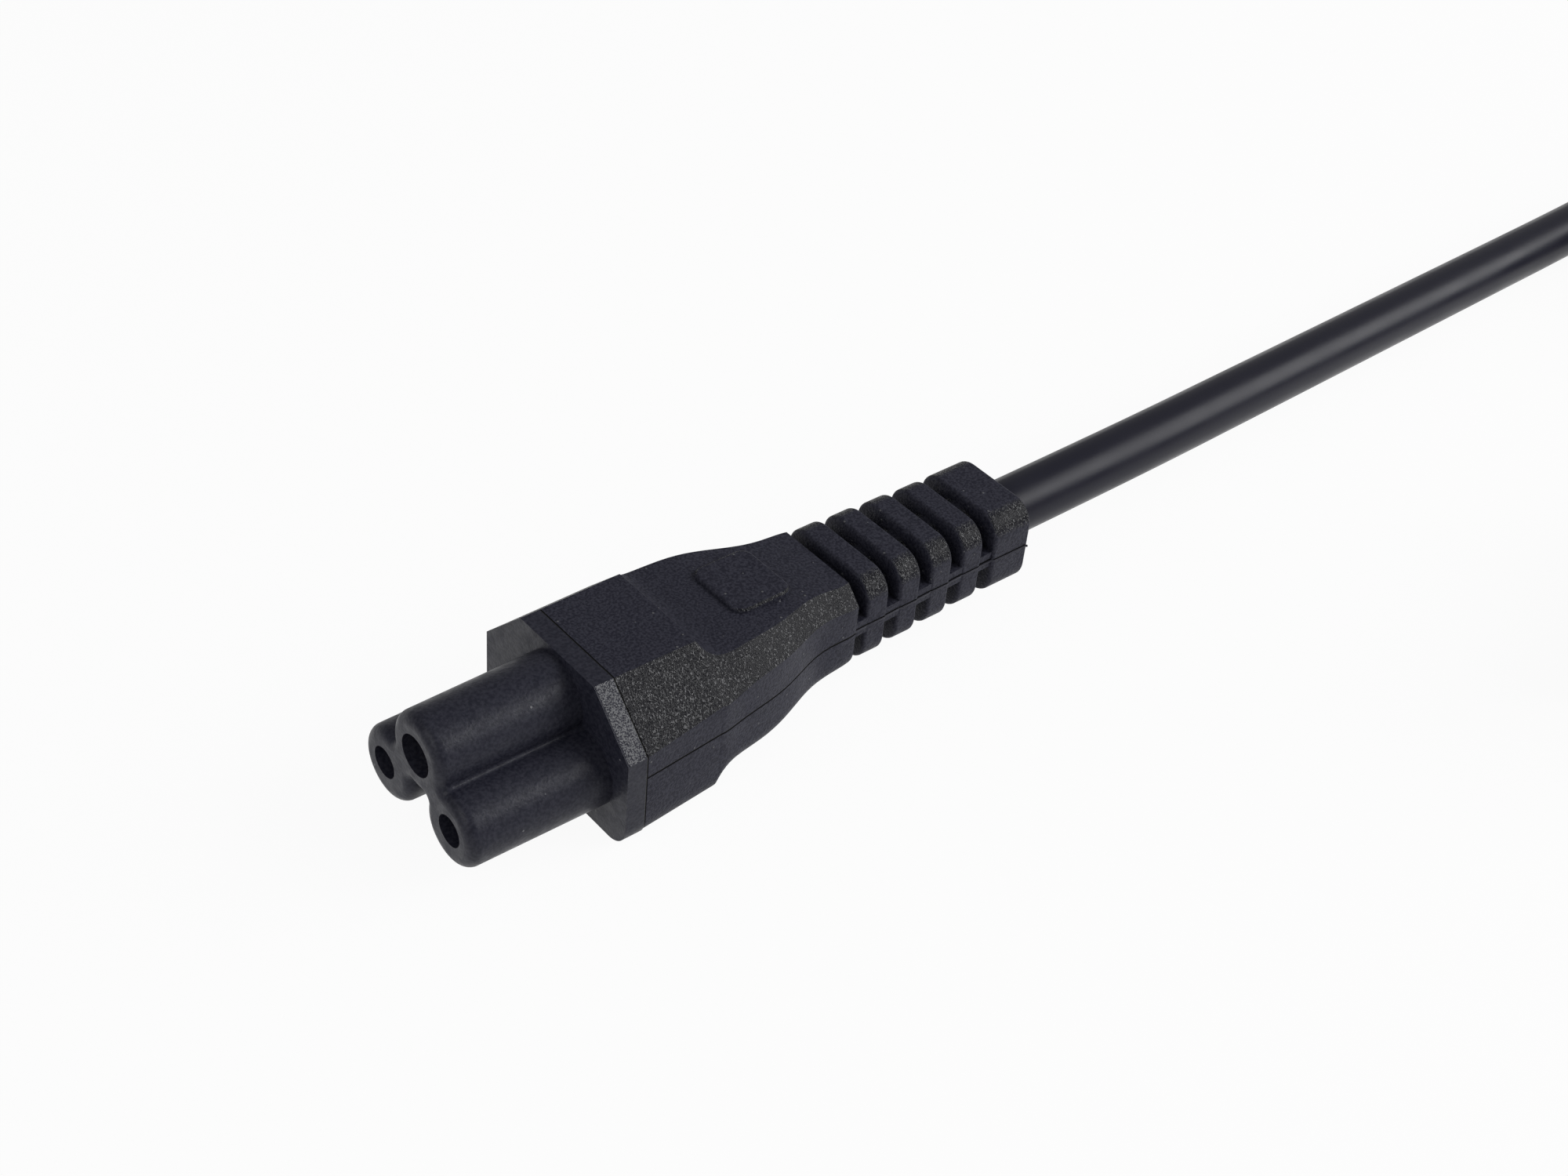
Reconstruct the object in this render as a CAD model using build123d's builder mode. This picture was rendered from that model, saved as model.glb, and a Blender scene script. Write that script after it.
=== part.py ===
"""Cloverleaf power cord: a moulded three-pole appliance connector, its round cord and its mains plug.

+X runs from the connector's nose to its cord, +Y is to the left when looking along +X, +Z is up.
The origin is under the middle of the connector, on the surface that it lies on. Millimetres throughout.
"""

import os
from math import atan2, cos, degrees, hypot, radians, sin, tan

from build123d import *

os.makedirs("parts", exist_ok=True)

# Connector nose: three round lobes with a socket in each.
SOCKET_SPACING = 10.0
SOCKET_DROP = 1.55
EARTH_RISE = 4.66
LOBE_RADIUS = 3.75
EARTH_LOBE_RADIUS = 4.0
LOBE_SINK = 0.25
LOBE_TUCK = 0.2
LOBE_DRAFT = 0.6
WEB_THICKNESS = 2.4
NOSE_LENGTH = 14.15
NOSE_ROUND = 1.1
CREASE_ROUND = 0.3
POLE_HOLE_RADIUS = 1.55
EARTH_HOLE_RADIUS = 2.02
HOLE_DEPTH = 2.2

# Front plate, as wide and high as the body behind it.
PLATE_WIDTH = 21.2
PLATE_HEIGHT = 15.2
PLATE_THICKNESS = 2.05
ROOF_DROP = 5.2
PLATE_TOP_ROUND = 4.0
PLATE_SHOULDER_ROUND = 1.6
PLATE_BOTTOM_ROUND = 2.4
MID_HEIGHT = PLATE_HEIGHT / 2
SOCKET_HEIGHT = MID_HEIGHT - SOCKET_DROP

# Boss of the insert that the body is moulded round.
BOSS_LENGTH = 6.0
BOSS_WIDTH = 15.8
BOSS_HEIGHT = 11.8
BOSS_DROP = 3.9
BOSS_ROUND = 0.8

# Moulded body: front block, step, then a waist down to the neck.
BODY_LENGTH = 27.2
BLOCK_LENGTH = 8.6
BLOCK_END_WIDTH = 19.7
BLOCK_END_DROP = 4.35
STEP_HEIGHT = 1.6
STEP_LENGTH = 2.1
STEP_NARROWING = 0.6
NECK_WIDTH = 12.34
NECK_HEIGHT = 9.8
NECK_DROP = 1.7
BODY_TOP_ROUND_SHARE = 0.75
BODY_SHOULDER_ROUND_SHARE = 0.7
BODY_BOTTOM_ROUND = 2.6
# Waist stations: length behind the step, and how much of the way to the neck each size has gone.
WAIST = [
    (4.1, 0.21, 0.45, 0.04),
    (7.5, 0.46, 0.65, 0.27),
    (10.4, 0.77, 0.82, 0.5),
    (13.1, 0.94, 0.94, 0.72),
]

# Raised thumb pad on the waist.
PAD_START = 15.0
PAD_LENGTH = 6.4
PAD_WIDTH = 7.2
PAD_DROP = 1.25
PAD_DEPTH = 1.6
PAD_CORNER = 1.2
PAD_EDGE = 0.3
PAD_TOP = PLATE_HEIGHT - PAD_DROP

# Ribbed strain relief, the same on the connector and on the plug.
GROOVE_WIDTH = 1.55
RIB_LENGTH = 2.59
RIB_COUNT = 4
END_BLOCK_LENGTH = 4.7
RELIEF_END_WIDTH = 10.6
RELIEF_END_HEIGHT = 9.2
RELIEF_CORNER = 2.4
RELIEF_SINK = 0.15
RIB_NARROWING = 0.5
RIB_EDGE = 0.35
RAIL_HEIGHT = 1.7
RAIL_INSET = 0.3
CORE_WALL = 0.4
RELIEF_LENGTH = (RIB_COUNT + 1) * GROOVE_WIDTH + RIB_COUNT * RIB_LENGTH + END_BLOCK_LENGTH

# Socket contacts, conductors and cores.
POLE_BORE_RADIUS = 1.2
EARTH_BORE_RADIUS = 1.5
SLEEVE_WALL = 0.5
SLEEVE_FLOOR = 1.0
SLEEVE_SEAM = 0.4
BARREL_RADIUS = 1.3
BARREL_LENGTH = 5.5
CRIMP_DEPTH = 4.5
CONDUCTOR_RADIUS = 0.55
CORE_RADIUS = 1.05
CORE_LAY_RADIUS = 1.3
CORE_BEND = 6.0
CORE_STRAIGHT = 2.5
FAN_LEAD = 1.2

# Cord and its coil.
CORD_DIAMETER = 6.0
JACKET_IN_CONNECTOR = 21.0
JACKET_IN_PLUG = 14.5
COIL_CENTRE = (170.0, -28.2)
COIL_RADIUS = 30.0
TURN_PITCH = 6.1
COIL_COLUMNS = 3
COIL_LAYERS = 2
COIL_LEAD = 12.0
RUN_INSET = 0.3
TAIL_LEAD = 1.0
TAIL_TURN = 16.5
TAIL_SWING = 0.2
TAIL_LIFT = 0.3
TAIL_STRAIGHT = 2.8
PLUG_ASIDE = 8.3
BEND_SHARE = 0.45
PLUG_APART = 35.0
TIE_WIDTH = 9.0
TIE_THICKNESS = 0.9

# Mains plug, lying beside the coil with its face towards -X.
PLUG_WIDTH = 23.0
PLUG_HEIGHT = 23.0
PLUG_CORNER = 5.0
PLUG_EDGE = 1.5
PLUG_BLOCK_LENGTH = 17.0
PLUG_TAPER_LENGTH = 8.0
PLUG_RELIEF_WIDTH = 13.0
PLUG_RELIEF_HEIGHT = 11.0
BRIDGE_WIDTH = 19.0
BRIDGE_HEIGHT = 19.5
BRIDGE_DEPTH = 8.0
BRIDGE_CORNER = 2.0
BLADE_SPACING = 12.7
BLADE_WIDTH = 6.35
BLADE_THICKNESS = 1.5
BLADE_LENGTH = 17.5
BLADE_TIP = 0.5
BLADE_HOLE_RADIUS = 1.6
BLADE_HOLE_AT = 11.9
BLADE_DROP = 5.4
EARTH_PIN_RADIUS = 2.38
EARTH_PIN_LENGTH = 20.7
EARTH_PIN_TIP = 1.8
EARTH_PIN_OFFSET = 11.9

# Places along the connector, from its nose to the end of its strain relief.
CORD_RADIUS = CORD_DIAMETER / 2
CONNECTOR_LENGTH = NOSE_LENGTH + PLATE_THICKNESS + BODY_LENGTH + RELIEF_LENGTH
NOSE_X = -CONNECTOR_LENGTH / 2
PLATE_X = NOSE_X + NOSE_LENGTH
SEAM_X = PLATE_X + PLATE_THICKNESS
BOSS_X = SEAM_X + BOSS_LENGTH
NECK_X = SEAM_X + BODY_LENGTH
END_X = NECK_X + RELIEF_LENGTH
JACKET_X = END_X - JACKET_IN_CONNECTOR
ALONG_X = (Align.CENTER, Align.CENTER, Align.MIN)
TURN_TO_X = (0, 90, 0)


def house(x, half_width, drop, half_height, rounds):
    """Gives the house-shaped section at x: flat foot, upright sides and a 45-degree roof cut flat on top."""
    top_round, shoulder_round, bottom_round = rounds
    top, bottom = MID_HEIGHT + half_height, MID_HEIGHT - half_height
    with BuildSketch(Plane.YZ.offset(x)) as section:
        with BuildLine():
            Polyline(
                (-half_width, bottom),
                (half_width, bottom),
                (half_width, top - drop),
                (half_width - drop, top),
                (drop - half_width, top),
                (-half_width, top - drop),
                close=True,
            )
        make_face()
        low, middle, high = section.vertices().group_by(Axis.Y)
        fillet(low, bottom_round)
        fillet(middle, shoulder_round)
        fillet(high, top_round)
    return section.sketch


def body_section(x, width, drop, half_height):
    """Gives the moulded body's section at x, with its edges rounded in step with its roof."""
    rounds = (BODY_TOP_ROUND_SHARE * drop, BODY_SHOULDER_ROUND_SHARE * drop, BODY_BOTTOM_ROUND)
    return house(x, width / 2, drop, half_height, rounds)


def relief(start, width, height):
    """Gives a strain relief along a plane's normal: a core with side rails, ribs round it and an end block."""
    with BuildPart() as ribbed:
        for rib in range(RIB_COUNT + 1):
            at = GROOVE_WIDTH + rib * (GROOVE_WIDTH + RIB_LENGTH)
            length = RIB_LENGTH if rib < RIB_COUNT else END_BLOCK_LENGTH
            share = (at + length / 2) / RELIEF_LENGTH
            narrowing = RIB_NARROWING if rib < RIB_COUNT else 0
            rib_width = width + (RELIEF_END_WIDTH - width) * share - narrowing
            rib_height = height + (RELIEF_END_HEIGHT - height) * share
            with BuildSketch(start.offset(at)):
                with Locations((0, -RELIEF_SINK)):
                    RectangleRounded(rib_width, rib_height, RELIEF_CORNER)
            extrude(amount=length)
            flats = ribbed.faces(Select.LAST).filter_by(Axis((0, 0, 0), start.z_dir))
            fillet(flats.edges(), RIB_EDGE)
        core_length = RELIEF_LENGTH - END_BLOCK_LENGTH / 2
        with BuildSketch(start):
            Circle(CORD_RADIUS + CORE_WALL)
        extrude(amount=core_length)
        with BuildSketch(start):
            Rectangle(width - 2 * RAIL_INSET, RAIL_HEIGHT)
        with BuildSketch(start.offset(core_length)):
            Rectangle(RELIEF_END_WIDTH - 2 * RAIL_INSET, RAIL_HEIGHT)
        loft()
    return ribbed.part


def bend_radii(points):
    """Gives the largest arc that each inner corner of a cord's route has room for."""
    radii = []
    for before, here, after in zip(points, points[1:], points[2:]):
        run_in, run_out = Vector(here) - Vector(before), Vector(after) - Vector(here)
        turn = radians(run_in.get_angle(run_out))
        radii.append(BEND_SHARE * min(run_in.length, run_out.length) / tan(turn / 2))
    return radii


def tube(points, radii, radius):
    """Gives a round tube along straight runs joined by tangent arcs."""
    with BuildPart() as swept:
        with BuildLine():
            route = FilletPolyline(*points, radius=radii)
        with BuildSketch(Plane(route @ 0, z_dir=route % 0)):
            Circle(radius)
        sweep(path=route)
    return swept.part


def wire(crimp_end, lay_end, laid, name):
    """Writes one core from its crimp to the length laid in the cord: a copper conductor in its insulation."""
    toward = 1 if lay_end[0] > crimp_end[0] else -1
    crimped = (crimp_end[0] - toward * CRIMP_DEPTH, *crimp_end[1:])
    first_bend = (crimp_end[0] + toward * CORE_STRAIGHT, *crimp_end[1:])
    last_bend = (lay_end[0] - toward * laid, *lay_end[1:])
    with BuildPart() as conductor:
        add(tube([crimped, first_bend, last_bend, lay_end], CORE_BEND, CONDUCTOR_RADIUS))
    with BuildPart() as core:
        add(tube([crimp_end, first_bend, last_bend, lay_end], CORE_BEND, CORE_RADIUS))
        add(conductor.part, mode=Mode.SUBTRACT)
    write(conductor.part, f"{name}_conductor")
    write(core.part, f"{name}_core")
    return [conductor.part, core.part]


def lay_point(x, y, z, angle):
    """Gives a core's place in the cord whose middle is at y and z."""
    return (x, y + CORE_LAY_RADIUS * cos(radians(angle)), z + CORE_LAY_RADIUS * sin(radians(angle)))


def write(piece, name):
    """Labels a finished piece and writes it to its own file."""
    piece.label = name
    export_step(piece, f"parts/{name}.step")


# Poles of the connector: place of the socket, its hole and bore, and the core's place in the cord.
connector_poles = {
    "line": (SOCKET_SPACING / 2, SOCKET_HEIGHT, POLE_HOLE_RADIUS, POLE_BORE_RADIUS, 330),
    "neutral": (-SOCKET_SPACING / 2, SOCKET_HEIGHT, POLE_HOLE_RADIUS, POLE_BORE_RADIUS, 210),
    "earth": (0.0, SOCKET_HEIGHT + EARTH_RISE, EARTH_HOLE_RADIUS, EARTH_BORE_RADIUS, 90),
}
contact_front = NOSE_X + HOLE_DEPTH
barrel_end = BOSS_X + BARREL_LENGTH

contacts = {}
for pole, (y, z, hole, bore, lay) in connector_poles.items():
    sleeve = bore + SLEEVE_WALL
    with BuildPart() as contact:
        with Locations((contact_front, y, z)):
            Cylinder(sleeve, BOSS_X - contact_front, rotation=TURN_TO_X, align=ALONG_X)
            bore_depth = BOSS_X - SLEEVE_FLOOR - contact_front
            Cylinder(bore, bore_depth, rotation=TURN_TO_X, align=ALONG_X, mode=Mode.SUBTRACT)
            seam_align = (Align.MIN, Align.CENTER, Align.MIN)
            Box(bore_depth, SLEEVE_SEAM, sleeve, align=seam_align, mode=Mode.SUBTRACT)
        with Locations((BOSS_X, y, z)):
            Cylinder(BARREL_RADIUS, BARREL_LENGTH, rotation=TURN_TO_X, align=ALONG_X)
        with Locations((barrel_end - CRIMP_DEPTH, y, z)):
            Cylinder(
                CONDUCTOR_RADIUS, CRIMP_DEPTH, rotation=TURN_TO_X, align=ALONG_X, mode=Mode.SUBTRACT
            )
    contacts[pole] = contact.part
    write(contact.part, f"{pole}_contact")

# Cores fan in from the crimps to their lay in the cord.
connector_wires = []
for pole, (y, z, hole, bore, lay) in connector_poles.items():
    connector_wires += wire((barrel_end, y, z), lay_point(JACKET_X, 0, MID_HEIGHT, lay), CORE_STRAIGHT, pole)

plate_rounds = (PLATE_TOP_ROUND, PLATE_SHOULDER_ROUND, PLATE_BOTTOM_ROUND)
plate_section = house(PLATE_X, PLATE_WIDTH / 2, ROOF_DROP, MID_HEIGHT, plate_rounds)
boss_section = house(SEAM_X, BOSS_WIDTH / 2, BOSS_DROP, BOSS_HEIGHT / 2, [BOSS_ROUND] * 3)
with BuildPart() as connector_insert:
    with BuildSketch(Plane.YZ.offset(PLATE_X)) as lobes:
        lobe_y = SOCKET_SPACING / 2 - LOBE_TUCK
        lobe_z = SOCKET_HEIGHT - LOBE_SINK
        earth_z = SOCKET_HEIGHT + EARTH_RISE
        with Locations((lobe_y, lobe_z), (-lobe_y, lobe_z)):
            Circle(LOBE_RADIUS)
        with Locations((0, earth_z)):
            Circle(EARTH_LOBE_RADIUS)
        for side in (-1, 1):
            web_slope = degrees(atan2(lobe_z - earth_z, side * lobe_y))
            with Locations((side * lobe_y / 2, (lobe_z + earth_z) / 2)):
                Rectangle(hypot(lobe_y, earth_z - lobe_z), WEB_THICKNESS, rotation=web_slope)
        fillet(lobes.vertices(), CREASE_ROUND)
    extrude(amount=-NOSE_LENGTH, taper=LOBE_DRAFT)
    fillet(connector_insert.faces().sort_by(Axis.X)[0].outer_wire().edges(), NOSE_ROUND)
    extrude(plate_section, amount=PLATE_THICKNESS)
    extrude(boss_section, amount=BOSS_LENGTH)
    for y, z, hole, bore, lay in connector_poles.values():
        with Locations((NOSE_X, y, z)):
            Cylinder(hole, HOLE_DEPTH, rotation=TURN_TO_X, align=ALONG_X, mode=Mode.SUBTRACT)
        with Locations((contact_front, y, z)):
            Cylinder(
                bore + SLEEVE_WALL,
                BOSS_X - contact_front,
                rotation=TURN_TO_X,
                align=ALONG_X,
                mode=Mode.SUBTRACT,
            )
write(connector_insert.part, "connector_insert")

# Cord route: straight out of the strain relief, down to the surface and along it to the coil.
turn_radius = COIL_RADIUS + TURN_PITCH * (COIL_COLUMNS - 1) / 2
coil_x, coil_y = COIL_CENTRE
run_points = [
    (JACKET_X, 0.0, MID_HEIGHT),
    (46.0, 0.0, MID_HEIGHT),
    (80.0, 2.3, 6.0),
    (114.0, 4.9, 4.1),
    (142.0, 6.65, CORD_RADIUS),
    (coil_x - COIL_LEAD, coil_y + turn_radius - RUN_INSET, CORD_RADIUS),
]

# Tail route: off the top of the coil's outer turn and into the plug.
tail_height = CORD_RADIUS + TURN_PITCH * (COIL_LAYERS - 1)
plug_y = coil_y - turn_radius + PLUG_ASIDE
plug_z = PLUG_HEIGHT / 2
plug_end_x = coil_x - PLUG_APART
plug_jacket_x = plug_end_x - JACKET_IN_PLUG
tail_points = [
    (coil_x - TAIL_LEAD, coil_y - turn_radius, tail_height),
    (coil_x - TAIL_TURN, coil_y - turn_radius + TAIL_SWING, tail_height + TAIL_LIFT),
    (plug_end_x + TAIL_STRAIGHT, plug_y, plug_z),
    (plug_jacket_x, plug_y, plug_z),
]

# The tie pulls in under the coil, which is wound in columns side by side and layers on each other.
coil_half = TURN_PITCH * (COIL_COLUMNS - 1) / 2 + CORD_RADIUS
coil_height = TURN_PITCH * (COIL_LAYERS - 1) + CORD_DIAMETER
coil_axis = Axis((coil_x, coil_y, 0), (0, 0, 1))
tie_turn = degrees(TIE_WIDTH / COIL_RADIUS)
tie_plane = Plane((coil_x, coil_y, 0), x_dir=(1, 0, 0), z_dir=(0, -1, 0)).rotated((0, 0, -tie_turn / 2))
with BuildPart() as coil_tie:
    with BuildSketch(tie_plane):
        with Locations((COIL_RADIUS, (coil_height + TIE_THICKNESS) / 2)):
            RectangleRounded(2 * (coil_half + TIE_THICKNESS), coil_height + TIE_THICKNESS, CORD_RADIUS)
        with Locations((COIL_RADIUS, (coil_height + TIE_THICKNESS) / 2)):
            RectangleRounded(
                2 * coil_half, coil_height - TIE_THICKNESS, CORD_RADIUS - TIE_THICKNESS, mode=Mode.SUBTRACT
            )
    revolve(axis=coil_axis, revolution_arc=tie_turn)
with BuildPart() as cord_coil:
    with BuildSketch(Plane.XZ.offset(-coil_y)):
        with Locations((coil_x + COIL_RADIUS, coil_height / 2)):
            RectangleRounded(2 * coil_half, coil_height, CORD_RADIUS - TIE_THICKNESS)
    revolve(axis=coil_axis)
    add(coil_tie.part, mode=Mode.SUBTRACT)
write(coil_tie.part, "coil_tie")
write(cord_coil.part, "cord_coil")

cords = {}
for name, points in {"cord_run": run_points, "cord_tail": tail_points}.items():
    radii = bend_radii(points)
    print(name, "bend radii", [round(radius) for radius in radii])
    with BuildPart() as cord:
        add(tube(points, radii, CORD_RADIUS))
        add(cord_coil.part, mode=Mode.SUBTRACT)
    cords[name] = cord.part
    write(cord.part, name)

block_x = SEAM_X + BLOCK_LENGTH
step_x = block_x + STEP_LENGTH
step_half = MID_HEIGHT - STEP_HEIGHT
step_width = BLOCK_END_WIDTH - STEP_NARROWING
step_drop = BLOCK_END_DROP - STEP_HEIGHT
seam_section = body_section(SEAM_X, PLATE_WIDTH, ROOF_DROP, MID_HEIGHT)
block_section = body_section(block_x, BLOCK_END_WIDTH, BLOCK_END_DROP, MID_HEIGHT)
waist_sections = [block_section, body_section(step_x, step_width, step_drop, step_half)]
for behind, width_share, drop_share, height_share in WAIST:
    station_width = step_width + (NECK_WIDTH - step_width) * width_share
    station_drop = step_drop + (NECK_DROP - step_drop) * drop_share
    station_half = step_half + (NECK_HEIGHT / 2 - step_half) * height_share
    waist_sections.append(body_section(step_x + behind, station_width, station_drop, station_half))
waist_sections.append(body_section(NECK_X, NECK_WIDTH, NECK_DROP, NECK_HEIGHT / 2))

with BuildPart() as connector_overmould:
    loft([seam_section, block_section], ruled=True)
    loft(waist_sections)
    with BuildSketch(Plane.XY.offset(PAD_TOP - PAD_DEPTH)):
        with Locations((SEAM_X + PAD_START + PAD_LENGTH / 2, 0)):
            RectangleRounded(PAD_LENGTH, PAD_WIDTH, PAD_CORNER)
    extrude(amount=PAD_DEPTH)
    pad_face = connector_overmould.faces(Select.LAST).sort_by(Axis.Z)[-1]
    fillet(pad_face.edges(), PAD_EDGE)
    add(relief(Plane((NECK_X, 0, MID_HEIGHT), x_dir=(0, 1, 0), z_dir=(1, 0, 0)), NECK_WIDTH, NECK_HEIGHT))
    extrude(boss_section, amount=BOSS_LENGTH, mode=Mode.SUBTRACT)
    for inner in [*contacts.values(), *connector_wires, cords["cord_run"]]:
        add(inner, mode=Mode.SUBTRACT)
write(connector_overmould.part, "connector_overmould")

# Plug: the blades lie low and the earth pin above them, all held in the face block.
relief_x = plug_end_x - RELIEF_LENGTH
taper_x = relief_x - PLUG_TAPER_LENGTH
face_x = taper_x - PLUG_BLOCK_LENGTH
bridge_x = face_x + BRIDGE_DEPTH
crimp_x = bridge_x + BARREL_LENGTH
blade_z = plug_z - BLADE_DROP
plug_poles = {
    "line": (plug_y + BLADE_SPACING / 2, blade_z, 330),
    "neutral": (plug_y - BLADE_SPACING / 2, blade_z, 210),
    "earth": (plug_y, blade_z + EARTH_PIN_OFFSET, 90),
}

plug_pins = []
plug_wires = []
for pole, (y, z, lay) in plug_poles.items():
    with BuildPart() as pin:
        if pole == "earth":
            with Locations((face_x - EARTH_PIN_LENGTH, y, z)):
                pin_length = EARTH_PIN_LENGTH + BRIDGE_DEPTH
                Cylinder(EARTH_PIN_RADIUS, pin_length, rotation=TURN_TO_X, align=ALONG_X)
            fillet(pin.edges().group_by(Axis.X)[0], EARTH_PIN_TIP)
        else:
            with Locations((face_x - BLADE_LENGTH, y, z)):
                blade_align = (Align.MIN, Align.CENTER, Align.CENTER)
                Box(BLADE_LENGTH + BRIDGE_DEPTH, BLADE_THICKNESS, BLADE_WIDTH, align=blade_align)
            chamfer(pin.faces().sort_by(Axis.X)[0].edges(), BLADE_TIP)
            with Locations((face_x - BLADE_HOLE_AT, y, z)):
                Cylinder(BLADE_HOLE_RADIUS, BLADE_THICKNESS, rotation=(90, 0, 0), mode=Mode.SUBTRACT)
        with Locations((bridge_x, y, z)):
            Cylinder(BARREL_RADIUS, BARREL_LENGTH, rotation=TURN_TO_X, align=ALONG_X)
        with Locations((crimp_x - CRIMP_DEPTH, y, z)):
            Cylinder(
                CONDUCTOR_RADIUS, CRIMP_DEPTH, rotation=TURN_TO_X, align=ALONG_X, mode=Mode.SUBTRACT
            )
    plug_pins.append(pin.part)
    write(pin.part, f"plug_{pole}_pin" if pole == "earth" else f"plug_{pole}_blade")
    plug_lay = lay_point(plug_jacket_x, plug_y, plug_z, lay)
    plug_wires += wire((crimp_x, y, z), plug_lay, plug_jacket_x - relief_x + FAN_LEAD, f"plug_{pole}")

with BuildPart() as plug_bridge:
    with BuildSketch(Plane.YZ.offset(face_x)):
        with Locations((plug_y, plug_z)):
            RectangleRounded(BRIDGE_WIDTH, BRIDGE_HEIGHT, BRIDGE_CORNER)
    bridge_block = extrude(amount=BRIDGE_DEPTH)
    for pin in plug_pins:
        add(pin, mode=Mode.SUBTRACT)
write(plug_bridge.part, "plug_bridge")

with BuildPart() as plug_overmould:
    with BuildSketch(Plane.YZ.offset(taper_x)) as plug_section:
        with Locations((plug_y, plug_z)):
            RectangleRounded(PLUG_WIDTH, PLUG_HEIGHT, PLUG_CORNER)
    extrude(amount=-PLUG_BLOCK_LENGTH)
    fillet(plug_overmould.faces().sort_by(Axis.X)[0].edges(), PLUG_EDGE)
    with BuildSketch(Plane.YZ.offset(relief_x)) as relief_section:
        with Locations((plug_y, plug_z)):
            RectangleRounded(PLUG_RELIEF_WIDTH, PLUG_RELIEF_HEIGHT, RELIEF_CORNER)
    loft([plug_section.sketch, relief_section.sketch])
    plug_axis = Plane((relief_x, plug_y, plug_z), x_dir=(0, 1, 0), z_dir=(1, 0, 0))
    add(relief(plug_axis, PLUG_RELIEF_WIDTH, PLUG_RELIEF_HEIGHT))
    for inner in [bridge_block, *plug_pins, *plug_wires, cords["cord_tail"]]:
        add(inner, mode=Mode.SUBTRACT)
write(plug_overmould.part, "plug_overmould")
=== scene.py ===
"""Cloverleaf power cord on a pale floor: the moulded appliance connector, its cord, coil and mains plug."""

from math import cos, pi, radians, sin

import bpy
from mathutils import Matrix, Vector


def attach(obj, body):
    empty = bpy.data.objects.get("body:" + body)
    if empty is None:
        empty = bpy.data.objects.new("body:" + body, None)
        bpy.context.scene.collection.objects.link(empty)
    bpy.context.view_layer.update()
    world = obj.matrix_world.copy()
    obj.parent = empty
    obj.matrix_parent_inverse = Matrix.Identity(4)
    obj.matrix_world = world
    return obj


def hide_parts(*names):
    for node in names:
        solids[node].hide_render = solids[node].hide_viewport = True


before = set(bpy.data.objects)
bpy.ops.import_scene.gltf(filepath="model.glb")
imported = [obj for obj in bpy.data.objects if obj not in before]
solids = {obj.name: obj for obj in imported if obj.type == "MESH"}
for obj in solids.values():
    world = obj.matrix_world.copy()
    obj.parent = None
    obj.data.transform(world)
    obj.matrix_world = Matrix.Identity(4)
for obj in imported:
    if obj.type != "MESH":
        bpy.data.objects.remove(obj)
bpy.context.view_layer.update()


# Socket contacts: three sleeves rolled from brass strip, open along a seam, each with a crimp barrel behind.
# They sit in the nose and are moulded in, so only their mouths can be seen through the holes.
def shade(tree, kind, sockets=None, **settings):
    """Adds a shader node and fills or links its sockets."""
    made = tree.nodes.new("ShaderNode" + kind)
    for name, value in settings.items():
        setattr(made, name, value)
    for name, value in (sockets or {}).items():
        if isinstance(value, bpy.types.NodeSocket):
            tree.links.new(value, made.inputs[name])
        else:
            made.inputs[name].default_value = value
    return made


def sum_of(tree, operation, first, second=0.0, third=0.0):
    """Gives the result of a Math node."""
    made = shade(tree, "Math", {0: first, 1: second, 2: third}, operation=operation)
    return made.outputs[0]


def ease(tree, value, low, high, at_low=0.0, at_high=1.0):
    """Gives a value that eases from at_low to at_high while its driver goes from low to high."""
    ends = {"From Min": low, "From Max": high, "To Min": at_low, "To Max": at_high}
    made = shade(tree, "MapRange", {"Value": value, **ends}, interpolation_type="SMOOTHSTEP")
    return made.outputs["Result"]


def blend(tree, share, first, second):
    """Gives a colour between two colours."""
    made = shade(tree, "Mix", {0: share, 6: first, 7: second}, data_type="RGBA")
    return made.outputs[2]


def noise(tree, place, scale, detail):
    """Gives the value of a noise pattern."""
    return shade(tree, "TexNoise", {"Vector": place, "Scale": scale, "Detail": detail}).outputs["Fac"]


def scaled(tree, place, scale):
    """Gives a place scaled along its axes, which draws a pattern out."""
    return shade(tree, "Mapping", {"Vector": place, "Scale": scale}).outputs["Vector"]


def new_finish(name):
    """Starts a material, and gives it with its node tree, its surface shader and its place on the piece."""
    material = bpy.data.materials.new(name)
    material.use_nodes = True
    tree = material.node_tree
    surface = tree.nodes["Principled BSDF"]
    place = shade(tree, "TexCoord").outputs["Object"]
    return material, tree, surface, place


def coat(tree, surface, tint, rough):
    """Links a colour and a roughness to a surface."""
    tree.links.new(tint, surface.inputs["Base Color"])
    tree.links.new(rough, surface.inputs["Roughness"])


def raise_grain(tree, surface, height, strength, depth):
    """Lets a pattern stand out of a surface."""
    bump = shade(tree, "Bump", {"Height": height, "Strength": strength, "Distance": depth})
    tree.links.new(bump.outputs["Normal"], surface.inputs["Normal"])


def dress(material, *names):
    """Gives CAD nodes their finish."""
    for name in names:
        for slot in solids[name].material_slots:
            slot.material = material


def drawn_metal(name, colour, dark, along):
    """A drawn or rolled metal: fine lines along it, and a duller bloom in patches."""
    material, tree, surface, place = new_finish(name)
    streak = noise(tree, scaled(tree, place, along), 1.0, 3.0)
    bloom = noise(tree, place, 420.0, 2.0)
    tint = blend(tree, ease(tree, bloom, 0.4, 0.7), colour, dark)
    coat(tree, surface, tint, ease(tree, streak, 0.3, 0.7, 0.24, 0.42))
    raise_grain(tree, surface, streak, 0.25, 0.00003)
    surface.inputs["Metallic"].default_value = 1.0
    return material


rolled_brass = drawn_metal("rolled_brass", (0.62, 0.45, 0.19, 1), (0.42, 0.3, 0.13, 1), (600, 9000, 9000))
dress(rolled_brass, "line_contact", "neutral_contact", "earth_contact")

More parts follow.
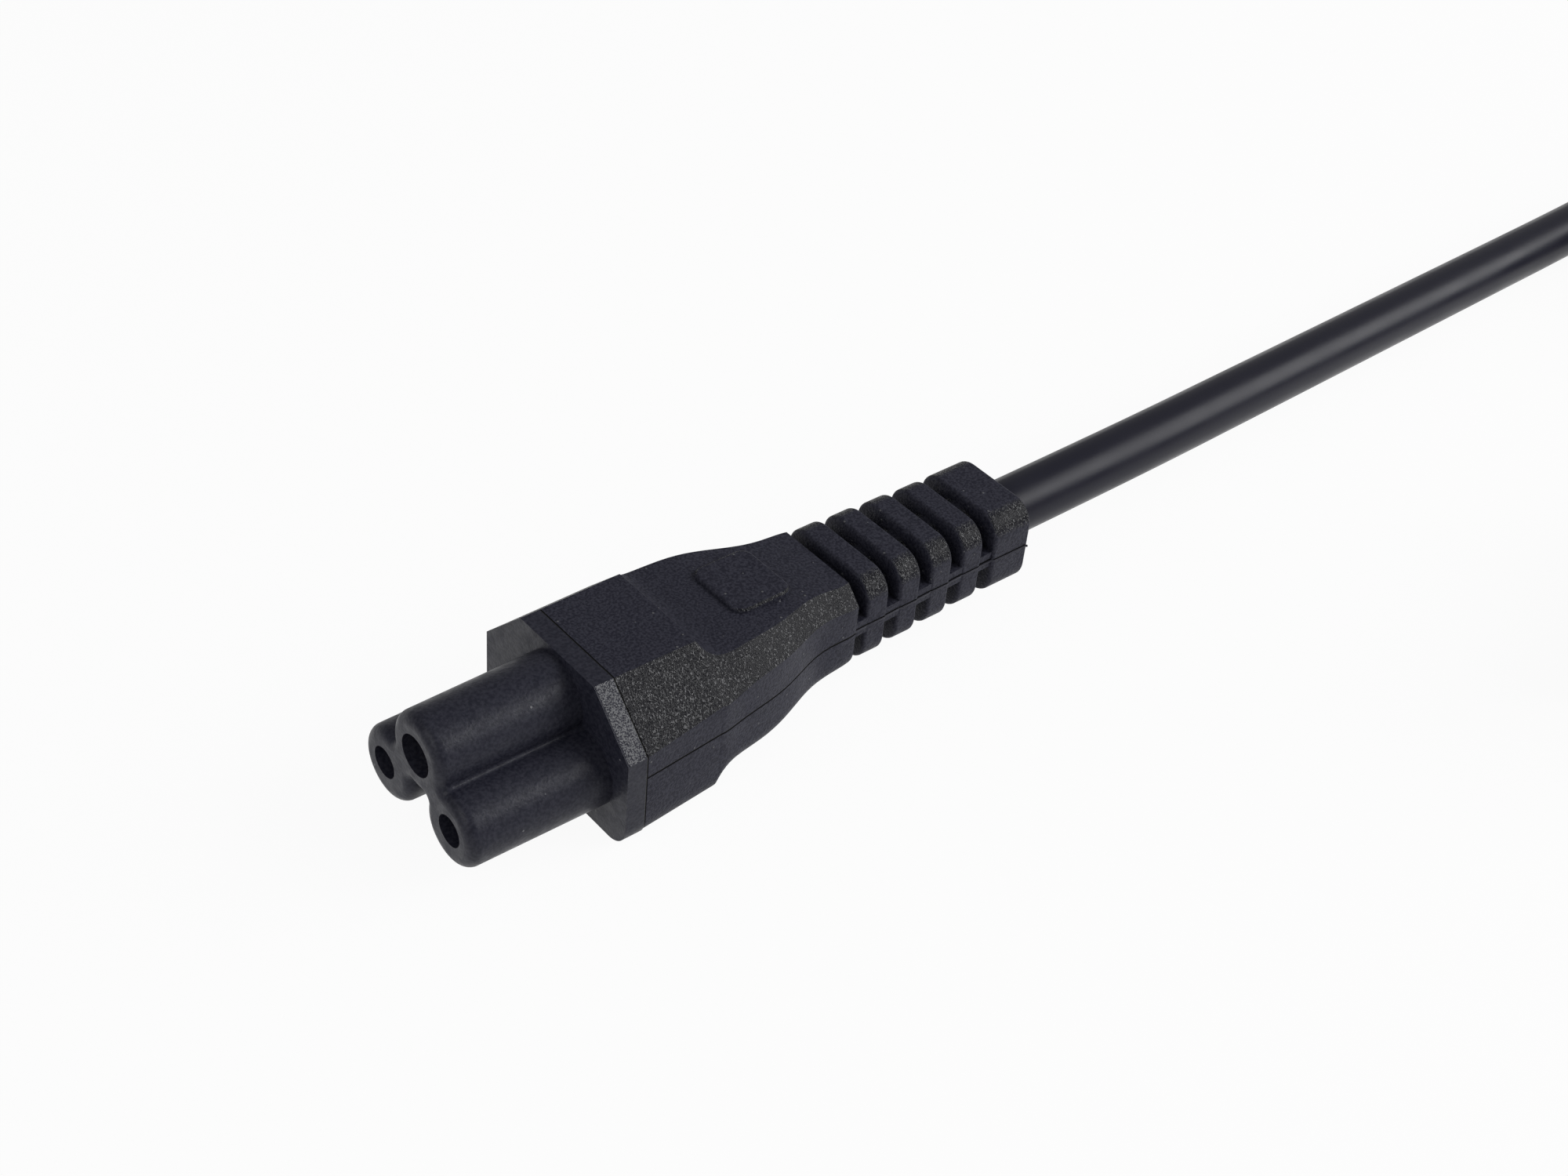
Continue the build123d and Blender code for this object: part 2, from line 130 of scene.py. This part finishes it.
# Conductors: bare copper strands, bunched and crimped into the contacts' barrels and the plug's pins.
# The mouldings cover them all.
bare_copper = drawn_metal("bare_copper", (0.7, 0.33, 0.19, 1), (0.5, 0.22, 0.12, 1), (900, 12000, 12000))
for pole in ("line", "neutral", "earth"):
    dress(bare_copper, f"{pole}_conductor", f"plug_{pole}_conductor")


# Cores: each conductor's coloured insulation, extruded on it, stripped back at the crimp.
# They fan out of the jacket inside both mouldings.
def core_insulation(name, colour, shadow):
    """A smooth coloured insulation with faint streaks from the extruder."""
    material, tree, surface, place = new_finish(name)
    streak = noise(tree, scaled(tree, place, (150, 4000, 4000)), 1.0, 2.0)
    tint = blend(tree, ease(tree, streak, 0.35, 0.75), colour, shadow)
    coat(tree, surface, tint, ease(tree, streak, 0.3, 0.7, 0.3, 0.4))
    return material


core_colours = {
    "line": ((0.13, 0.05, 0.022, 1), (0.1, 0.036, 0.016, 1)),
    "neutral": ((0.02, 0.09, 0.38, 1), (0.015, 0.07, 0.31, 1)),
    "earth": ((0.05, 0.3, 0.06, 1), (0.04, 0.24, 0.045, 1)),
}
for pole, (colour, shadow) in core_colours.items():
    dress(core_insulation(f"{pole}_insulation", colour, shadow), f"{pole}_core", f"plug_{pole}_core")

# Connector insert: the nose of three lobes and the plate behind it, hard black plastic from one mould.
# The nose is satin with odd specks. The plate's sloped rims are grained like the body behind them, and their
# grain is painted pale grey as a painted glint of light.
nose_x, plate_x, seam_x, neck_x, end_x = -0.0331, -0.01895, -0.0169, 0.0103, 0.0331
mid_z = 0.0076
seam_half = 0.00007


def facing(tree):
    """How much the surface faces sideways and up at once, as the 45-degree sides do, and how much sideways."""
    normal = shade(tree, "NewGeometry").outputs["Normal"]
    parts = shade(tree, "SeparateXYZ", {"Vector": normal}).outputs
    side = sum_of(tree, "ABSOLUTE", parts["Y"])
    lean = sum_of(tree, "MULTIPLY", side, parts["Z"])
    return ease(tree, lean, 0.1, 0.48), side


def specks(tree, place, scale, size, kept):
    """Small round specks, one in some of the cells of a loose pattern."""
    cells = shade(tree, "TexVoronoi", {"Vector": place, "Scale": scale})
    chosen = shade(tree, "SeparateXYZ", {"Vector": cells.outputs["Color"]}).outputs["X"]
    spot = ease(tree, cells.outputs["Distance"], size, size * 1.6, 1.0, 0.0)
    return sum_of(tree, "MULTIPLY", spot, ease(tree, chosen, kept, kept + 0.02, 1.0, 0.0))


def line_at(tree, value, middle, half_width):
    """One on a thin line where a coordinate has a given value, and nothing beside it."""
    apart = sum_of(tree, "ABSOLUTE", sum_of(tree, "SUBTRACT", value, middle))
    return ease(tree, apart, half_width * 0.5, half_width * 1.5, 1.0, 0.0)


def satin_plastic(name, rims_from=None, seam_at=None):
    """Hard black plastic, satin with odd specks. Sloped rims behind a given place get a painted glint on their
    grain, up to a seam.
    """
    material, tree, surface, place = new_finish(name)
    mottle = noise(tree, place, 800.0, 3.0)
    tooth = noise(tree, place, 3400.0, 3.0)
    speck = specks(tree, place, 420.0, 0.035, 0.45)
    tint = blend(tree, ease(tree, tooth, 0.32, 0.68), (0.011, 0.0115, 0.02, 1), (0.025, 0.0255, 0.037, 1))
    tint = blend(tree, speck, tint, (0.13, 0.13, 0.14, 1))
    rough = ease(tree, mottle, 0.3, 0.7, 0.36, 0.5)
    relief = sum_of(tree, "MULTIPLY", tooth, 0.3)
    if rims_from is not None:
        along = shade(tree, "SeparateXYZ", {"Vector": place}).outputs["X"]
        behind = ease(tree, along, rims_from + 0.00005, rims_from + 0.0002)
        rim = sum_of(tree, "MULTIPLY", facing(tree)[0], behind)
        grain = noise(tree, place, 7600.0, 1.0)
        rim_painted_glint = sum_of(tree, "MULTIPLY", rim, ease(tree, grain, 0.4, 0.6))
        seam = line_at(tree, along, seam_at, seam_half)
        # Painted highlight: the rims' grain is painted pale grey where light would glint on it.
        tint = blend(tree, rim_painted_glint, tint, (0.14, 0.142, 0.15, 1))
        tint = blend(tree, seam, tint, (0.002, 0.002, 0.002, 1))
        rough = sum_of(tree, "MULTIPLY_ADD", rim, 0.06, rough)
        relief = sum_of(tree, "MULTIPLY_ADD", rim, grain, relief)
        relief = sum_of(tree, "SUBTRACT", relief, seam)
    coat(tree, surface, tint, rough)
    surface.inputs["Specular IOR Level"].default_value = 0.2
    raise_grain(tree, surface, relief, 0.8, 0.00012)
    return material


dress(satin_plastic("satin_insert", plate_x, seam_x), "connector_insert")


# Flash in the nose's creases: a hair of plastic that the mould's halves squeezed out between the lobes.
# It is a thin fin along each crease, its pale grey colour a painted highlight along it.
def fin_tree(name):
    """A node tree that turns a line of points into a fin of a given width and height."""
    group = bpy.data.node_groups.new(name, "GeometryNodeTree")
    face = group.interface
    face.new_socket("Line", in_out="INPUT", socket_type="NodeSocketGeometry")
    face.new_socket("Width", in_out="INPUT", socket_type="NodeSocketFloat")
    face.new_socket("Height", in_out="INPUT", socket_type="NodeSocketFloat")
    face.new_socket("Finish", in_out="INPUT", socket_type="NodeSocketMaterial")
    face.new_socket("Fin", in_out="OUTPUT", socket_type="NodeSocketGeometry")
    made = group.nodes
    given, result = made.new("NodeGroupInput"), made.new("NodeGroupOutput")
    path, section = made.new("GeometryNodeMeshToCurve"), made.new("GeometryNodeCurvePrimitiveQuadrilateral")
    sweep, realize = made.new("GeometryNodeCurveToMesh"), made.new("GeometryNodeRealizeInstances")
    finish = made.new("GeometryNodeSetMaterial")
    sweep.inputs["Fill Caps"].default_value = True
    for source, target in (
        (given.outputs["Line"], path.inputs["Mesh"]),
        (given.outputs["Width"], section.inputs["Width"]),
        (given.outputs["Height"], section.inputs["Height"]),
        (path.outputs["Curve"], sweep.inputs["Curve"]),
        (section.outputs["Curve"], sweep.inputs["Profile Curve"]),
        (sweep.outputs["Mesh"], realize.inputs["Geometry"]),
        (realize.outputs["Geometry"], finish.inputs["Geometry"]),
        (given.outputs["Finish"], finish.inputs["Material"]),
        (finish.outputs["Geometry"], result.inputs["Fin"]),
    ):
        group.links.new(source, target)
    return group


fin = fin_tree("fin_along_a_line")


def fin_piece(name, paths, width, height, material, closed=False):
    """Makes a piece of fins along paths, as a plain mesh."""
    mesh = bpy.data.meshes.new(name + "_line")
    points, edges = [], []
    for path in paths:
        first = len(points)
        points += path
        edges += [(first + n, first + n + 1) for n in range(len(path) - 1)]
        if closed:
            edges.append((len(points) - 1, first))
    mesh.from_pydata(points, edges, [])
    line = bpy.data.objects.new(name + "_line", mesh)
    bpy.context.collection.objects.link(line)
    grown = line.modifiers.new("fin", "NODES")
    grown.node_group = fin
    for label, value in (("Width", width), ("Height", height), ("Finish", material)):
        grown[fin.interface.items_tree[label].identifier] = value
    evaluated = line.evaluated_get(bpy.context.evaluated_depsgraph_get())
    piece = bpy.data.objects.new(name, bpy.data.meshes.new_from_object(evaluated))
    bpy.context.collection.objects.link(piece)
    bpy.data.objects.remove(line)
    return piece


flash_painted_highlight, tree, surface, place = new_finish("flash_painted_highlight")
ragged = noise(tree, place, 900.0, 2.0)
# Painted highlight: the fin is painted pale grey for the light caught along its edge.
tint = blend(tree, ease(tree, ragged, 0.35, 0.65), (0.12, 0.12, 0.125, 1), (0.5, 0.5, 0.51, 1))
tree.links.new(tint, surface.inputs["Base Color"])
surface.inputs["Roughness"].default_value = 0.45
hair = 0.00008
crease_front, crease_root = (nose_x + 0.0012, 0.0036, 0.00923), (plate_x - 0.0004, 0.00385, 0.00947)
creases = []
for hand in (-1, 1):
    creases.append([(x, hand * y, z) for x, y, z in (crease_front, crease_root)])
nose_flash = fin_piece("nose_flash", creases, hair, hair, flash_painted_highlight)
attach(nose_flash, "root")


# Connector overmould: one shot of soft black plastic round the insert, the cores and the cord's end.
# Its sloped sides are grained for the fingers, its top is smoother, and a parting line runs round it. On the
# slopes the grain's crests are painted pale grey as a highlight, and the slopes painted darker as shade.
def soft_plastic(name, parting_z, seam_at=None):
    """Soft black plastic: toothed all over, with worm-like grain on its slopes and a line round its sides. The
    grain's crests carry a painted highlight, and the slopes painted shade.
    """
    material, tree, surface, place = new_finish(name)
    across = shade(tree, "SeparateXYZ", {"Vector": place}).outputs
    slope, side = facing(tree)
    swell = noise(tree, scaled(tree, place, (1.35, 1.0, 1.0)), 3000.0, 1.0)
    off_ridge = sum_of(tree, "ABSOLUTE", sum_of(tree, "SUBTRACT", swell, 0.5))
    ridge_and_glint = sum_of(tree, "MULTIPLY", slope, ease(tree, off_ridge, 0.0, 0.085, 1.0, 0.0))
    tooth = noise(tree, place, 4200.0, 2.0)
    mottle = noise(tree, place, 260.0, 3.0)
    speck = specks(tree, place, 760.0, 0.07, 0.6)
    parting_half = 0.00009
    parting = line_at(tree, across["Z"], parting_z, parting_half)
    gap = sum_of(tree, "MULTIPLY", parting, ease(tree, side, 0.75, 0.9))
    if seam_at is not None:
        gap = sum_of(tree, "MAXIMUM", gap, line_at(tree, across["X"], seam_at, seam_half))
    tint = blend(tree, ease(tree, tooth, 0.34, 0.66), (0.013, 0.0132, 0.022, 1), (0.033, 0.0333, 0.047, 1))
    # Painted shade: the sloped sides are painted darker than the top.
    tint = blend(tree, slope, tint, (0.004, 0.004, 0.007, 1))
    # Painted highlight: the grain's crests on the slopes are painted pale grey.
    tint = blend(tree, ridge_and_glint, tint, (0.165, 0.166, 0.173, 1))
    tint = blend(tree, sum_of(tree, "MULTIPLY", speck, 0.8), tint, (0.12, 0.12, 0.13, 1))
    tint = blend(tree, gap, tint, (0.001, 0.001, 0.001, 1))
    rough = sum_of(tree, "MULTIPLY_ADD", slope, -0.12, ease(tree, mottle, 0.3, 0.7, 0.48, 0.58))
    coat(tree, surface, tint, sum_of(tree, "MAXIMUM", rough, gap))
    surface.inputs["Specular IOR Level"].default_value = 0.13
    relief = sum_of(tree, "MULTIPLY_ADD", tooth, 0.35, ridge_and_glint)
    relief = sum_of(tree, "MULTIPLY_ADD", speck, 0.5, relief)
    relief = sum_of(tree, "SUBTRACT", relief, gap)
    raise_grain(tree, surface, relief, 1.0, 0.0002)
    return material


dress(soft_plastic("soft_grain_and_glint", mid_z, seam_x), "connector_overmould")

# Flash along the strain relief: the parting line stands proud there, over the rails and the ribs.
# It ends in a small nib at the cord's end.
groove, rib_length, ribs, end_block = 0.00155, 0.00259, 4, 0.0047
neck_width, end_width, rib_narrowing, rail_inset = 0.01234, 0.0106, 0.0005, 0.0003
relief_length = end_x - neck_x
flash_z, flash_thick, nib = mid_z - 0.00014, 0.00016, 0.0001
edge_round = 0.00035
edge_start = edge_round * 0.3


def relief_width(x):
    """The strain relief's width at a place along it."""
    return neck_width + (end_width - neck_width) * (x - neck_x) / relief_length


def rail_reach(x):
    """How far out the rails' sides lie at a place along the strain relief."""
    return relief_width(x) / 2 - rail_inset


moulded_edge, tree, surface, place = new_finish("moulded_edge")
mottle = noise(tree, place, 900.0, 2.0)
tint = blend(tree, mottle, (0.02, 0.02, 0.03, 1), (0.04, 0.04, 0.052, 1))
coat(tree, surface, tint, ease(tree, mottle, 0.3, 0.7, 0.44, 0.54))
surface.inputs["Specular IOR Level"].default_value = 0.13
outline = [(neck_x, rail_reach(neck_x))]
for rib in range(ribs + 1):
    start = neck_x + groove + rib * (groove + rib_length)
    stop = start + (rib_length if rib < ribs else end_block)
    reach = (relief_width((start + stop) / 2) - (rib_narrowing if rib < ribs else 0)) / 2
    outline += [(start, rail_reach(start)), (start + edge_start, reach - edge_start)]
    outline += [(start + edge_round, reach), (stop - edge_round, reach)]
    if rib < ribs:
        outline += [(stop - edge_start, reach - edge_start), (stop, rail_reach(stop))]
outline.append((end_x - nib, reach + nib))
paths = [[(x, hand * y, flash_z) for x, y in outline] for hand in (-1, 1)]
parting_flash = fin_piece("parting_flash", paths, flash_thick, flash_thick, moulded_edge)
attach(parting_flash, "root")

# Cord: three cores in a round black jacket, extruded smooth and a little satin.
# It comes straight out of the strain relief, sinks to the floor and is put away in a flat coil.
cord_thick = 0.006
layer_z = (0.003, 0.0091)
coil_x, coil_y = 0.17, -0.0282
columns = (0.0361, 0.03, 0.0239)
points_per_turn = 24
draw_in = (6 + 2 * cos(2 * pi / points_per_turn)) / 8
strap_thick = 0.0009
column_moves = (
    (200, 310, columns[1] - columns[0]),
    (560, 670, columns[2] - columns[1]),
    (1080, 1175, columns[1] - columns[2]),
    (1440, 1535, columns[0] - columns[1]),
)
climb_from, climb_to, wound = 820, 915, 1620
strap_angle, strap_clear, strap_free = 90, 12, 45


def between(turn, start, stop, before, after):
    """Goes smoothly from one value to another while the winding angle goes from start to stop."""
    share = min(max((turn - start) / (stop - start), 0), 1)
    return before + (after - before) * share * share * (3 - 2 * share)


cord_points = [
    (0.0121, 0.0, mid_z),
    (0.046, 0.0, mid_z),
    (0.08, 0.0023, 0.006),
    (0.114, 0.0049, 0.0041),
    (0.142, 0.00665, layer_z[0]),
    (0.158, 0.0076, layer_z[0]),
]
for step in range(0, wound + 1, 360 // points_per_turn):
    radius = columns[0]
    for start, stop, move in column_moves:
        radius += between(step, start, stop, 0, move)
    height = between(step, climb_from, climb_to, layer_z[0], layer_z[1])
    off_strap = abs((step - strap_angle + 180) % 360 - 180)
    height += between(off_strap, strap_clear, strap_free, strap_thick, 0)
    angle = radians(90 - step)
    reach = radius / draw_in
    cord_points.append((coil_x + reach * cos(angle), coil_y + reach * sin(angle), height))
cord_points += [(0.1535, -0.0641, 0.0094), (0.1378, -0.056, 0.0115), (0.1205, -0.056, 0.0115)]

line = bpy.data.curves.new("cord", "CURVE")
line.dimensions = "3D"
spline = line.splines.new("NURBS")
spline.points.add(len(cord_points) - 1)
for point, place in zip(spline.points, cord_points):
    point.co = (*place, 1)
spline.order_u = 3
spline.use_endpoint_u = True
line.bevel_depth = cord_thick / 2
line.bevel_resolution = 8
line.resolution_u = 10
line.use_fill_caps = True
cord = bpy.data.objects.new("cord", line)
bpy.context.collection.objects.link(cord)

satin_jacket, tree, surface, place = new_finish("satin_jacket")
mottle = noise(tree, place, 160.0, 3.0)
tooth = noise(tree, place, 3800.0, 2.0)
tint = blend(tree, mottle, (0.012, 0.012, 0.02, 1), (0.015, 0.015, 0.0235, 1))
coat(tree, surface, tint, ease(tree, mottle, 0.3, 0.7, 0.3, 0.37))
surface.inputs["Specular IOR Level"].default_value = 0.15
raise_grain(tree, surface, tooth, 0.15, 0.00004)
line.materials.append(satin_jacket)
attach(cord, "root")
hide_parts("cord_run", "cord_coil", "cord_tail")

# Tie: a flat black strap, wound once round the coil and pulled tight.
# It lies under the turns, on the floor, and over the top of them.
strap_wide, strap_round = 0.009, 0.003
coil_mid = columns[1]
half_reach = columns[0] - coil_mid + cord_thick / 2 + strap_thick / 2
low, high = strap_thick / 2, layer_z[1] + cord_thick / 2 + strap_thick * 1.5
loop = []
for corner, (sign_r, sign_z) in enumerate(((1, 1), (-1, 1), (-1, -1), (1, -1))):
    centre_x = coil_x + coil_mid + sign_r * (half_reach - strap_round)
    centre_z = (high - strap_round) if sign_z > 0 else (low + strap_round)
    for part in range(7):
        turn = radians(90 * corner + 15 * part)
        loop.append((centre_x + strap_round * cos(turn), coil_y, centre_z + strap_round * sin(turn)))
strap_web, tree, surface, place = new_finish("strap_web")
weave_sockets = {"Vector": place, "Scale": 420.0, "Distortion": 1.5}
threads = shade(tree, "TexWave", weave_sockets, bands_direction="Y").outputs["Fac"]
fuzz = noise(tree, place, 2600.0, 3.0)
tint = blend(tree, fuzz, (0.009, 0.009, 0.01, 1), (0.022, 0.022, 0.024, 1))
tree.links.new(tint, surface.inputs["Base Color"])
surface.inputs["Roughness"].default_value = 0.8
raise_grain(tree, surface, sum_of(tree, "ADD", threads, fuzz), 0.7, 0.00012)
coil_strap = fin_piece("coil_strap", [loop], strap_wide, strap_thick, strap_web, closed=True)
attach(coil_strap, "root")
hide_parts("coil_tie")

# Plug pins: two flat blades and a round earth pin of drawn brass, each with a crimp barrel inside the plug.
# The blades have a latch hole each.
drawn_brass = drawn_metal("drawn_brass", (0.66, 0.52, 0.27, 1), (0.5, 0.38, 0.19, 1), (500, 8000, 8000))
dress(drawn_brass, "plug_line_blade", "plug_neutral_blade", "plug_earth_pin")

# Plug bridge: the hard block that holds the three pins apart, flush with the plug's face.
# It is the same satin plastic as the connector's nose.
dress(satin_plastic("bridge_finish"), "plug_bridge")

# Plug overmould: the soft black body of the plug, moulded round the bridge, the crimps and the cord's end.
# Its rounded edges are grained, with a painted highlight on the grain's crests and painted shade between them,
# and the parting line runs along its sides.
plug_z = 0.0115
dress(soft_plastic("plug_grain_and_glint", plug_z), "plug_overmould")

on_cord = [coil_strap, solids["plug_bridge"], solids["plug_overmould"]]
on_cord += [solids["plug_line_blade"], solids["plug_neutral_blade"], solids["plug_earth_pin"]]

# Floor: a wide sheet of white card under the cord, which shows only the soft shadow.
# It looks white to the camera, and lights the pieces from below as card would.
floor_half = 20.0
floor_mesh = bpy.data.meshes.new("floor")
floor_corners = [(x * floor_half, y * floor_half, 0) for x, y in ((-1, -1), (1, -1), (1, 1), (-1, 1))]
floor_mesh.from_pydata(floor_corners, [], [(0, 1, 2, 3)])
floor = bpy.data.objects.new("floor", floor_mesh)
bpy.context.collection.objects.link(floor)
white_card, tree, surface, place = new_finish("white_card")
surface.inputs["Base Color"].default_value = (0.7, 0.7, 0.7, 1)
surface.inputs["Roughness"].default_value = 0.9
surface.inputs["Specular IOR Level"].default_value = 0.0
rays = shade(tree, "LightPath").outputs
seen = sum_of(tree, "MAXIMUM", rays["Is Camera Ray"], rays["Is Glossy Ray"])
seen = sum_of(tree, "MAXIMUM", seen, rays["Is Transmission Ray"])
share = sum_of(tree, "MULTIPLY", seen, 0.94)
white = shade(tree, "Emission", {"Color": (1, 1, 1, 1), "Strength": 1.0}).outputs["Emission"]
mixed = shade(tree, "MixShader", {0: share, 1: surface.outputs["BSDF"], 2: white})
tree.links.new(mixed.outputs["Shader"], tree.nodes["Material Output"].inputs["Surface"])
floor_mesh.materials.append(white_card)

# Light: two soft boxes over the right side, a weaker one in front of the nose, and an even pale room.
# Camera: above the nose and to its right, rolled a little, as a phone held over a table.
world = bpy.data.worlds.new("room")
world.use_nodes = True
room = world.node_tree.nodes["Background"]
room.inputs["Color"].default_value = (1, 1, 1, 1)
room.inputs["Strength"].default_value = 0.3
bpy.context.scene.world = world
lit_spot = Vector((0.005, 0.0, 0.006))
for name, place, size, power in (
    ("side_box", (0.33, -0.42, 0.4), 0.26, 1.2),
    ("cord_box", (0.65, -0.335, 0.38), 0.5, 3.8),
    ("front_box", (-0.5, -0.1, 0.35), 0.4, 1.0),
):
    lamp = bpy.data.lights.new(name, "AREA")
    lamp.size = size
    lamp.energy = power
    holder = bpy.data.objects.new(name, lamp)
    bpy.context.collection.objects.link(holder)
    holder.location = place
    holder.rotation_euler = (lit_spot - Vector(place)).to_track_quat("-Z", "Y").to_euler()

turn, tilt, roll = radians(-42.88), radians(39.1), radians(5.68)
aimed_at, distance = Vector((0.00445, -0.00223, 0.01301)), 0.21195
back = Vector((sin(turn) * cos(tilt), -cos(turn) * cos(tilt), sin(tilt)))
right = Vector((cos(turn), sin(turn), 0))
up = back.cross(right)
rolled_right = right * cos(roll) + up * sin(roll)
rolled_up = up * cos(roll) - right * sin(roll)
axes = Matrix((rolled_right, rolled_up, back)).transposed().to_4x4()
lens = bpy.data.cameras.new("camera")
lens.sensor_width = 36.0
lens.lens = 54.0
lens.clip_start = 0.01
camera = bpy.data.objects.new("camera", lens)
bpy.context.collection.objects.link(camera)
camera.matrix_world = Matrix.Translation(aimed_at + back * distance) @ axes
bpy.context.scene.camera = camera
bpy.context.scene.view_settings.view_transform = "Standard"
